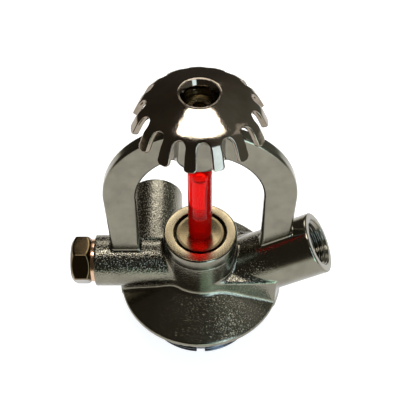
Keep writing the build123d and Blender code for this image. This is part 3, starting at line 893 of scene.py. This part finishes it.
@dataclass
class Deflector:
    """Stamped and plated dished disc, cut into fifteen tines that bend down, on its staked lip."""

    top_z: float = 62.42
    sheet: float = 1.2
    hole_r: float = 3.9
    tines: int = 15
    phase_deg: float = -98.1
    slot_root: float = 10.15
    slot_half: float = 1.25
    mouth_half: float = 1.65
    mouth_x: float = 14.5
    corner: float = 0.8
    edge: float = 0.16
    edge_steps: tuple[float, ...] = (0.0, 0.008, 0.03, 0.065, 0.11, 0.16)
    length: float = 16.98
    fine: float = 0.02
    soften: int = 25
    row: float = 0.33
    bend_at: tuple[float, ...] = (4.2, 5.8, 10.17, 14.146)
    bend_deg: tuple[float, ...] = (20.5, 24.2, 24.2, 66.0)
    set_from: float = 11.4
    set_over: float = 2.2
    set_deg: tuple[float, ...] = (
        0.6, 2.5, 1.2, -0.8, 0.9, -0.5, 1.1, 0.3, -1.0, 0.7, -0.6, 1.0, -0.9, 0.4, 0.0)
    lip: Corners = ((3.06, 58.9, 0.05), (3.9, 58.9, 0.05), (3.98, 60.7, 0.08), (3.95, 60.9, 0.1),
                    (3.78, 60.9, 0.08), (3.06, 59.8, 0.3))

    def path(self, extra_deg: float | np.ndarray = 0.0) -> tuple[np.ndarray, np.ndarray, np.ndarray]:
        """Half profile of the upper face: domed hub, dished slope, bend and straight tine end.

        The slope angle grows from 20.5 deg at the hole to 24.2 deg on the dish, then evenly over
        the bend to 66 deg, and stays there. A moving mean over 1 mm softens its corners, as the
        press tool's radius does. r and the drop are the running sums of its cosine and sine.

        Args:
            extra_deg: How much steeper a tine's end was pressed, one number or one per tine.

        Returns:
            Arc length, and the radius and drop there, one row per number in extra_deg.
        """
        s = np.arange(0.0, self.length + 1e-9, self.fine)
        wider = np.arange(-self.soften, len(s) + self.soften) * self.fine
        span = 2 * self.soften + 1
        angle = np.convolve(np.interp(wider, self.bend_at, self.bend_deg), np.ones(span) / span, "valid")
        share = eased(ramp(s, self.set_from, self.set_over))
        angle = np.radians(angle + np.multiply.outer(np.asarray(extra_deg), share))
        step = np.diff(s, prepend=-self.fine)
        r = np.cumsum(np.cos(angle) * step, axis=-1) - self.fine
        return s, r, np.cumsum(np.sin(angle) * step, axis=-1)

    def build(self) -> None:
        """Builds the staked lip and the disc.

        A point of tine k at arc length s and distance u across it lies at plan angle
        k * 24 deg + u / r(s). The sheet's two faces lie h each side of its middle, along the
        profile's normal, and h falls to nothing at every cut edge along a quarter ellipse:
        h = t/2 * sqrt(1 - (1 - d/e)^2) for a distance d from the edge below e.
        """
        fit(turned_ring("staked_lip", self.lip), Coat.PLATE, Slot.NICKEL)

        # rows: arc lengths, closer together at the hole, round the slots' ends and at the tips
        s, r, _ = self.path()
        steps = np.array(self.edge_steps)
        arc = np.radians(np.arange(6.0, 90.0, 9.0))
        centre, end = self.slot_root + self.slot_half, s[-1]
        plan = np.concatenate([
            self.hole_r + steps, np.arange(4.3, 9.8, 0.4),
            self.slot_root - steps, centre - self.slot_half * np.cos(arc), [centre, centre + 0.25]])
        wide = np.interp(plan, r, s)
        turn = np.radians(np.arange(0.0, 90.0, 10.0))
        tip = end - np.concatenate([steps, self.corner * (1 - np.sin(turn))])
        between = np.arange(wide.max() + 0.3, end - self.corner - 0.05, self.row)
        rows = np.unique(np.round(np.concatenate([wide, between, tip]), 4))
        row_r = np.interp(rows, s, r)

        # each row's half width: the pitch less the slot's half, rounded at the root and the tip
        flare = (self.mouth_half - self.slot_half) / (self.mouth_x - centre)
        cosine = (row_r ** 2 + centre ** 2 - self.slot_half ** 2) / (2 * np.maximum(row_r, 1.0) * centre)
        round_part = np.arccos(np.clip(cosine, -1.0, 1.0))
        straight = np.full_like(row_r, 0.1)
        for _ in range(4):
            straight = np.arcsin(np.clip(
                (self.slot_half + (row_r * np.cos(straight) - centre) * flare) / row_r, -1, 1))
        cut = np.where(row_r * np.cos(straight) < centre, round_part, straight)
        cut = np.where(row_r < self.slot_root + 1e-6, 0.0, cut)
        pitch = math.pi / self.tines
        half = row_r * (pitch - cut)
        left = end - rows
        corner = np.clip(self.corner - left, 0.0, self.corner)
        reach = half - self.corner + np.sqrt(self.corner ** 2 - corner ** 2)
        reach = np.where(left < self.corner, reach, half)[:, None]

        # points across a row, close together at both edges
        inset = steps * np.minimum(1.0, reach / 0.4)
        inner = np.linspace(-1.0, 1.0, 9)[None, 1:-1] * (reach - inset[:, -1:])
        u = np.concatenate([-reach + inset, inner, (reach - inset)[:, ::-1]], axis=1)
        angle = u / row_r[:, None]

        # distance from the nearest cut edge, and the half thickness there
        gap = np.abs(np.abs(angle) - pitch)
        px, py = row_r[:, None] * np.cos(gap), row_r[:, None] * np.sin(gap)
        to_slot = np.where(px < centre, np.hypot(px - centre, py) - self.slot_half,
                           py - self.slot_half - (px - centre) * flare)
        side, left = np.abs(u) - (half[:, None] - self.corner), left[:, None]
        to_tip = np.where((side > 0) & (left < self.corner),
                          self.corner - np.hypot(np.maximum(side, 0), self.corner - left), left)
        d = joined(to_slot, to_tip, row_r[:, None] - self.hole_r)
        full = self.sheet / 2
        h = full * np.sqrt(1 - (1 - ramp(d, 0.0, self.edge)) ** 2)

        # the two faces of every tine, each with its own bend
        k = np.arange(self.tines)[:, None, None]
        plan_angle = np.radians(self.phase_deg) + k * 2 * pitch + angle[None]
        _, set_r, set_drop = self.path(np.array(self.set_deg))
        near = np.clip(np.round(rows / self.fine).astype(int), 0, len(s) - 1)
        slope_r, slope_d = (np.gradient(line, s, axis=1)[:, near, None] for line in (set_r, set_drop))
        run = np.hypot(slope_r, slope_d)
        own_r, own_drop = (np.stack([np.interp(rows, s, line) for line in lines])[:, :, None]
                           for lines in (set_r, set_drop))
        shells = []
        for out in (h[None] - full, -h[None] - full):
            rr = own_r + out * slope_d / run
            shells.append(np.stack([rr * np.cos(plan_angle), rr * np.sin(plan_angle),
                                    self.top_z - own_drop + out * slope_r / run], -1))
        grid = np.concatenate(shells)
        copies, n, m = grid.shape[:3]
        c, i, j = np.meshgrid(np.arange(copies), np.arange(n - 1), np.arange(m - 1), indexing="ij")
        first = c * n * m + i * m + j
        quads = np.stack([first, first + m, first + m + 1, first + 1], -1)
        quads[self.tines:] = quads[self.tines:, :, :, ::-1]
        fit(make_object("deflector_disc", grid.reshape(-1, 3), quads.reshape(-1, 4), weld=2 * WELD),
            Coat.PLATE, Slot.DEFLECTOR, "deflector")


# ---- seat and plug ------------------------------------------------------------------------

@dataclass
class SeatBush:
    """Brass bush that is screwed into the hub, and the plated collar round it."""

    ring: Corners = (
        (3.8, 11.1, 0.1), (6.45, 11.1, 0.2), (6.45, 17.2, 0.05), (7.9, 17.2, 0.05), (7.9, 18.3, 0.05),
        (7.8, 18.35, 0.05), (5.9, 18.35, 0.15), (5.9, 15.0, 0.1), (3.8, 15.0, 0.1))
    collar: Corners = (
        (6.5, 15.38, 0.05), (8.25, 15.38, 0.2), (8.25, 18.1, 0.45), (7.88, 18.33, 0.05),
        (7.88, 17.15, 0.05), (6.5, 17.15, 0.05))
    columns: int = 200

    def build(self) -> None:
        """Builds the bush and its collar."""
        ring = turned_ring("seat_bush_ring", self.ring, self.columns)
        fit(ring, Coat.BRASS, Slot.BRASS, "seat_bush")
        collar = turned_ring("seat_bush_collar", self.collar, self.columns)
        fit(collar, Coat.NICKEL, Slot.NICKEL, "seat_bush")


@dataclass
class FillPlug:
    """Hexagon-head plug of the fill port, turned from bronze bar, with its thread and washer."""

    matrix: Matrix
    half_flats: float = 5.0
    head: float = 4.5
    washer: float = 0.9
    turn_deg: float = 35.5
    face_r: float = 4.3
    under_r: float = 4.7
    bevel_deg: float = 35.0
    shank_r: float = 4.0
    shank: float = 4.0
    thread_depth: float = 0.613
    sharpness: float = 46.0
    foot_edge: float = 0.08
    face_edge: float = 0.1
    row: float = 0.11
    thread_row: float = 0.1
    columns: int = 240
    washer_ring: Corners = ((4.04, 0.02, 0.1), (4.9, 0.02, 0.12), (4.9, 0.88, 0.12), (4.04, 0.88, 0.1))

    def build(self) -> None:
        """Builds the plug about +Z, with its head outwards, and its washer.

        The head is the rounded common part of the hexagon and two bevel cones:
        r = (sum over flats of (cos(a - flat) / half flats)^n + (1 / cone)^n)^(-1/n),
        counting only the flats that face the angle a.
        """
        low, high = self.washer, self.washer + self.head
        a = circle(self.columns)
        z = np.concatenate([low + self.foot_edge * (1 - np.cos(np.linspace(0, np.pi / 2, 5))),
                            np.arange(low + 0.15, high - 0.12, self.row),
                            high - self.face_edge * (1 - np.sin(np.linspace(0, np.pi / 2, 6)))])[:, None]
        slope = math.tan(math.radians(self.bevel_deg))
        cone = np.minimum(self.under_r + (z - low) / slope, self.face_r + (high - z) / slope)
        rim = ramp(z, high - self.face_edge, self.face_edge)
        cone = cone + self.face_edge * (np.sqrt(1 - rim ** 2) - 1)
        n = self.sharpness
        flats = np.radians(self.turn_deg + 30 + 60 * np.arange(6))[:, None, None]
        facing = np.maximum(np.cos(a[None] - flats), 0.0)
        head = (((facing / self.half_flats) ** n).sum(0) + (1 / cone) ** n) ** (-1 / n)
        core = self.shank_r - self.thread_depth
        zs = np.arange(-self.shank, low - 0.2, self.thread_row)[:, None]
        fade = ramp(zs, -self.shank, 0.6) * ramp(-zs, 0.3 - low, 0.5)
        screw = core + self.thread_depth * ridge(zs - a / (2 * np.pi)) * fade
        r = stacked(a.size, [[0.0], [core - 0.4]], screw, [[core]], head, [[self.face_r * 0.6], [0.0]])
        zs = stacked(a.size, [[-self.shank]] * 2, zs, [[low - 0.1]], z, [[high]] * 2)
        faces = grid_faces(len(r), a.size, ring=False)[:, ::-1]
        fit(make_object("fill_plug_hex", revolved(r, zs, a), faces, self.matrix, weld=WELD),
            Coat.BAR, Slot.PLUG, "fill_plug", body="fill_plug")
        fit(turned_ring("copper_washer", self.washer_ring, 120, self.matrix),
            Coat.COPPER, Slot.WASHER, "plug_washer", body="plug_washer")


# ---- bulb ---------------------------------------------------------------------------------

@dataclass
class Bulb:
    """Glass bulb, its dyed liquid and the small gas bubble."""

    r: float = 2.57
    low: float = 17.0
    high: float = 41.4
    cup: float = 40.73
    bore_r: float = 2.3
    liquid_low: float = 17.35
    liquid_high: float = 40.4
    meniscus: float = 0.8
    bubble_r: float = 1.1
    bubble_half: float = 0.682
    bubble_wall: float = 0.05
    bubble_z: float = 36.9
    columns: int = 96

    def rounded_rod(self, name: str, radius: float, low: float, high: float, foot: float, head: float,
                    cup: float = math.inf) -> Object:
        """A closed rod with elliptical ends.

        For u from 0 to pi / 2, r = radius * sin(u) and z = low + foot * (1 - cos(u)) at the
        lower end, and z = high - head * (1 - cos(u)) at the upper one.

        Args:
            name: Object name.
            radius: Radius of the straight part.
            low: Lowest z.
            high: Highest z.
            foot: Height of the lower end's curve.
            head: Height of the upper end's curve.
            cup: Height at which the upper end is ground flat, as the seat of the thrust pin.

        Returns:
            The rod's object.
        """
        u = np.linspace(0.0, np.pi / 2, 20)[:, None]
        end = 1 - np.cos(u)
        r = np.concatenate([radius * np.sin(u), np.full((30, 1), radius), radius * np.sin(u)[::-1]])
        z = np.concatenate([low + foot * end, np.linspace(low + foot, high - head, 32)[1:-1, None],
                            (high - head * end)[::-1]])
        points = revolved(r, np.minimum(z, cup), circle(self.columns))
        return make_object(name, points, grid_faces(len(r), self.columns, ring=False)[:, ::-1], weld=WELD)

    def build(self) -> None:
        """Builds the glass, the liquid and the bubble."""
        glass = self.rounded_rod("bulb_glass_rod", self.r, self.low, self.high, self.r, self.r, self.cup)
        fit(glass, Coat.GLASS, Slot.GLASS, "bulb_glass")
        liquid = self.rounded_rod("bulb_red_liquid", self.bore_r, self.liquid_low, self.liquid_high,
                                  self.bore_r, self.meniscus)
        fit(liquid, Coat.LIQUID, Slot.LIQUID, "bulb_liquid")
        reach = self.bubble_half + self.bubble_wall
        bubble = self.rounded_rod("bulb_bubble", self.bubble_r, self.bubble_z - reach, self.bubble_z + reach,
                                  self.bubble_half, self.bubble_half)
        fit(bubble, Coat.GAS, Slot.GLASS)


# ---- springs ------------------------------------------------------------------------------

@dataclass
class ValveSpring:
    """Coil spring of a check valve, which shortens as its poppet is pushed in."""

    port: Port
    matrix: Matrix
    start: float
    wire_r: float = 0.25
    coil_r: float = 1.75
    turns: int = 3
    floor: float = 6.2
    low: float = 5.93
    top: float = 3.22
    travel: float = 1.0
    around: int = 16

    def build(self) -> None:
        """Builds the wire round its centre line (R cos t, R sin t, low + rise * t).

        The ring about each centre point lies in the plane of the outward direction
        (cos t, sin t, 0) and of its cross product with the line's direction. The wire's ends
        close on their centre points.
        """
        t = np.linspace(0.0, 2 * np.pi * self.turns, 48 * self.turns + 1)[:, None]
        rise = (self.low - self.top) / (2 * np.pi * self.turns)
        zero = np.zeros_like(t)
        out = np.concatenate([np.cos(t), np.sin(t), zero], 1)
        centre = self.coil_r * out + np.concatenate([zero, zero, rise * t - self.start - self.low], 1)
        along = np.concatenate([-self.coil_r * np.sin(t), self.coil_r * np.cos(t), zero + rise], 1)
        side = np.cross(along / np.linalg.norm(along, axis=1, keepdims=True), out)
        a = circle(self.around)[:, :, None]
        rings = centre[:, None] + self.wire_r * (np.cos(a) * out[:, None] + np.sin(a) * side[:, None])
        first, last = (np.repeat(centre[None, i, None], self.around, 1) for i in (0, -1))
        points = np.concatenate([first, rings, last]).reshape(-1, 3)
        faces = grid_faces(len(t) + 2, self.around, ring=False)
        obj = make_object(f"{self.port.value}_valve_coil", points, faces, self.matrix, weld=0.1 * WELD)
        fit(obj, Coat.STEEL, Slot.SPRING, f"{self.port.value}_valve_spring")
        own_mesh(obj)


# ---- stage --------------------------------------------------------------------------------

class LampShape(Enum):
    """Outline of a softbox, and the share of its width times height that it fills."""

    RECTANGLE = 1.0
    ELLIPSE = math.pi / 4


@dataclass(frozen=True)
class Softbox:
    """An even, one-sided panel of a given radiance, where 1 is white: its power is pi * area * radiance."""

    name: str
    place: Triple
    aim: Triple
    size: Pair
    radiance: float
    colour: str = "#ffffff"
    shape: LampShape = LampShape.RECTANGLE

    def hang(self) -> None:
        """Adds the lamp, turned to its aim and unseen by the camera."""
        data = bpy.data.lights.new(self.name, "AREA")
        data.shape = self.shape.name
        data.size, data.size_y = self.size[0] * MM, self.size[1] * MM
        data.energy = math.pi * self.shape.value * data.size * data.size_y * self.radiance
        data.color = linear(self.colour)[:3]
        obj = bpy.data.objects.new(self.name, data)
        obj.location = Vector(self.place) * MM
        obj.rotation_euler = (Vector(self.aim) - Vector(self.place)).to_track_quat("-Z", "Y").to_euler()
        obj.visible_camera = False
        bpy.context.scene.collection.objects.link(obj)


def looked_at(tree: NodeTree) -> Node:
    """Tells what is looked at from the light that it gives off.

    Args:
        tree: Node tree of the glowing surface.

    Returns:
        1 for the camera, also by reflection or through glass, and 0 for all other light.
    """
    path = add(tree, "LightPath").outputs
    seen = add(tree, "Math", {"operation": "MAXIMUM", 0: path["Is Camera Ray"], 1: path["Is Glossy Ray"]})
    return add(tree, "Math", {"operation": "MAXIMUM", 0: seen, 1: path["Is Transmission Ray"]})


@dataclass
class Studio:
    """Pale floor, soft lamps, a glowing tent that only reflections see, painted dark above and pale low down,
    and the camera.
    """

    floor_z: float = -11.5
    floor_r: float = 2500.0
    floor_paint: str = "#d0d0d0"
    floor_lift: float = 0.78
    tent_r: float = 190.0
    tent_top: float = 330.0
    # glow of the painted reflection dome: at its foot, above, and on its lighter side
    tent_glow: Triple = (1.1, 0.06, 0.28)
    tent_dark_z: float = 8.0
    tent_sides: Pair = (20.0, 160.0)
    # tints of the painted reflection dome, on its left and right
    tent_left: str = "#f8eed8"
    tent_right: str = "#e0e8e0"
    room_light: float = 0.35
    lens_mm: float = 83.43
    eye: Triple = (0.0, -124.04, 181.45)
    pitch_deg: float = 50.77
    roll_deg: float = -0.3
    lamps: tuple[Softbox, ...] = (
        Softbox("overhead_softbox", (4, -1, 220), (4, -1, 0), (150, 64), 9.0, shape=LampShape.ELLIPSE),
        Softbox("back_softbox", (6, 125, 118), (-4, 8, 14), (92, 68), 4.0),
        Softbox("tall_window", (80, -148, 92), (0, 0, 50), (62, 194), 4.6, "#c6e6ff"),
        Softbox("low_teal_card", (42, -168, 6), (0, 0, 10), (84, 34), 6.5, "#a9d6d0"),
        Softbox("side_softbox", (112, 6, 160), (8, -8, 4), (50, 50), 0.7))

    def sheet(self, name: str, points: Points, faces: np.ndarray, material: Material) -> Object:
        """Adds one stage surface.

        Args:
            name: Object name.
            points: (n, 3) vertex positions in millimetres.
            faces: (m, 4) vertex numbers.
            material: Its material.

        Returns:
            The surface.
        """
        obj = make_object(name, points, faces)
        obj.data.materials.append(material)
        return obj

    def floor(self) -> None:
        """A plain white floor that still takes the valve's shadow."""
        material, tree, _ = new_material("painted_floor")
        paint = add(tree, "BsdfDiffuse", {"Color": linear(self.floor_paint)})
        lift = add(tree, "Math", {"operation": "MULTIPLY", 0: looked_at(tree), 1: self.floor_lift})
        glow = add(tree, "Emission", {"Color": linear("#ffffff"), "Strength": lift})
        add(tree, "OutputMaterial", {"Surface": add(tree, "AddShader", {0: paint, 1: glow})})
        square = self.floor_r * np.array([(-1, -1, 0), (1, -1, 0), (1, 1, 0), (-1, 1, 0)])
        self.sheet("floor", square + (0.0, 0.0, self.floor_z), np.array([[0, 1, 2, 3]]), material)

    def tent(self) -> None:
        """A glowing dome that only reflections see, so it paints reflections into the metal: pale at its
        foot, dark above, and lighter on the right.
        """
        material, tree, where = new_material("black_cloth_flag")
        parts = add(tree, "SeparateXYZ", {0: where}).outputs
        foot, dark, light = self.tent_glow
        left, right = self.tent_sides
        smooth = {"interpolation_type": "SMOOTHSTEP"}
        low = add(tree, "MapRange", {
            "From Min": self.floor_z * MM, "From Max": self.tent_dark_z * MM, "To Min": foot,
            "To Max": 0.0, "Value": parts[2], **smooth})
        side = add(tree, "MapRange", {
            "From Min": left * MM, "From Max": right * MM, "Value": parts[0], **smooth})
        high = add(tree, "MapRange", {"To Min": dark, "To Max": light, "Value": side})
        colour = add(tree, "Mix", {
            "data_type": "RGBA", 6: linear(self.tent_left), 7: linear(self.tent_right), 0: side}).outputs[2]
        strength = add(tree, "Math", {"operation": "ADD", 0: low, 1: high})
        glow = add(tree, "Emission", {"Color": colour, "Strength": strength})
        add(tree, "OutputMaterial", {"Surface": glow})
        rows, columns = 24, 64
        u = np.linspace(0.0, np.pi / 2 - 0.01, rows)[:, None]
        z = self.floor_z + self.tent_top * np.sin(u)
        points = revolved(self.tent_r * np.sqrt(np.cos(u)), z, circle(columns))
        obj = self.sheet("reflection_flag", points, grid_faces(rows, columns, ring=False), material)
        for ray in ("camera", "diffuse", "shadow", "transmission", "volume_scatter"):
            setattr(obj, "visible_" + ray, False)

    def world(self) -> None:
        """An even, pale surround that is white where it is looked at."""
        world = bpy.data.worlds.new("pale_room")
        bpy.context.scene.world = world
        world.use_nodes = True
        tree = world.node_tree
        tree.nodes.clear()
        strength = add(tree, "MapRange", {"To Min": self.room_light, "To Max": 1.0, "Value": looked_at(tree)})
        sky = add(tree, "Background", {"Color": linear("#ffffff"), "Strength": strength})
        add(tree, "OutputWorld", {"Surface": sky})

    def camera(self) -> None:
        """Long lens from the front, looking down by 51 degrees."""
        data = bpy.data.cameras.new("camera")
        data.sensor_width = 36.0
        data.lens = self.lens_mm
        data.clip_start, data.clip_end = 0.01, 20.0
        obj = bpy.data.objects.new("camera", data)
        obj.location = Vector(self.eye) * MM
        obj.rotation_euler = Euler((math.radians(90 - self.pitch_deg), 0.0, 0.0))
        obj.rotation_euler.rotate_axis("Z", math.radians(self.roll_deg))
        bpy.context.scene.collection.objects.link(obj)
        bpy.context.scene.camera = obj

    def build(self) -> None:
        """Sets the stage."""
        self.floor()
        self.tent()
        self.world()
        for lamp in self.lamps:
            lamp.hang()
        self.camera()
        bpy.context.scene.view_settings.view_transform = "Standard"


# ---- assembly -----------------------------------------------------------------------------

def tilted(place: Triple, about_y: float, about_x: float = 0.0) -> Matrix:
    """Placement of a turned piece: its own +Z tilted about Y, or about X, in degrees, then moved."""
    turn = Matrix.Rotation(math.radians(about_y), 4, "Y") @ Matrix.Rotation(math.radians(about_x), 4, "X")
    return Matrix.Translation(Vector(place)) @ turn


def dress_kept(nodes: dict[str, Object]) -> None:
    """Gives every CAD node that stays its own finish, and reports it.

    Args:
        nodes: The CAD nodes by name.
    """
    kept = {"seat_cap": Coat.BRONZE, "disc_spring": Coat.STEEL, "bush_gasket": Coat.FIBRE,
            "neck_seal": Coat.RUBBER, "load_screw": Coat.BRONZE, "thrust_pin": Coat.BRASS}
    for port in Port:
        for part, coat in (("ring", Coat.BRASS), ("poppet", Coat.BRASS), ("seal", Coat.RUBBER)):
            kept[f"{port.value}_valve_{part}"] = coat
    for name, coat in kept.items():
        dress(nodes[name], coat)
        log.info("%s: kept, in %s", name, coat.value.name)


def main() -> None:
    """Loads the frame, builds every piece in order, dresses the kept nodes and sets the stage."""
    logging.basicConfig(level=logging.INFO, format="%(message)s")
    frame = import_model()
    body = CastBody()
    body.build()
    ThreadedNeck().build()
    for port in (Port.GAUGE, Port.REAR):
        PortThread(port, body.mouth(port)).build()
    Deflector().build()
    SeatBush().build()
    FillPlug(body.mouth(Port.FILL)).build()
    Bulb().build()
    for port in Port:
        ValveSpring(port, body.mouth(port), start=body.bores[port][0][1]).build()
    dress_kept(frame["nodes"])
    Studio().build()


if __name__ == "__main__":
    main()
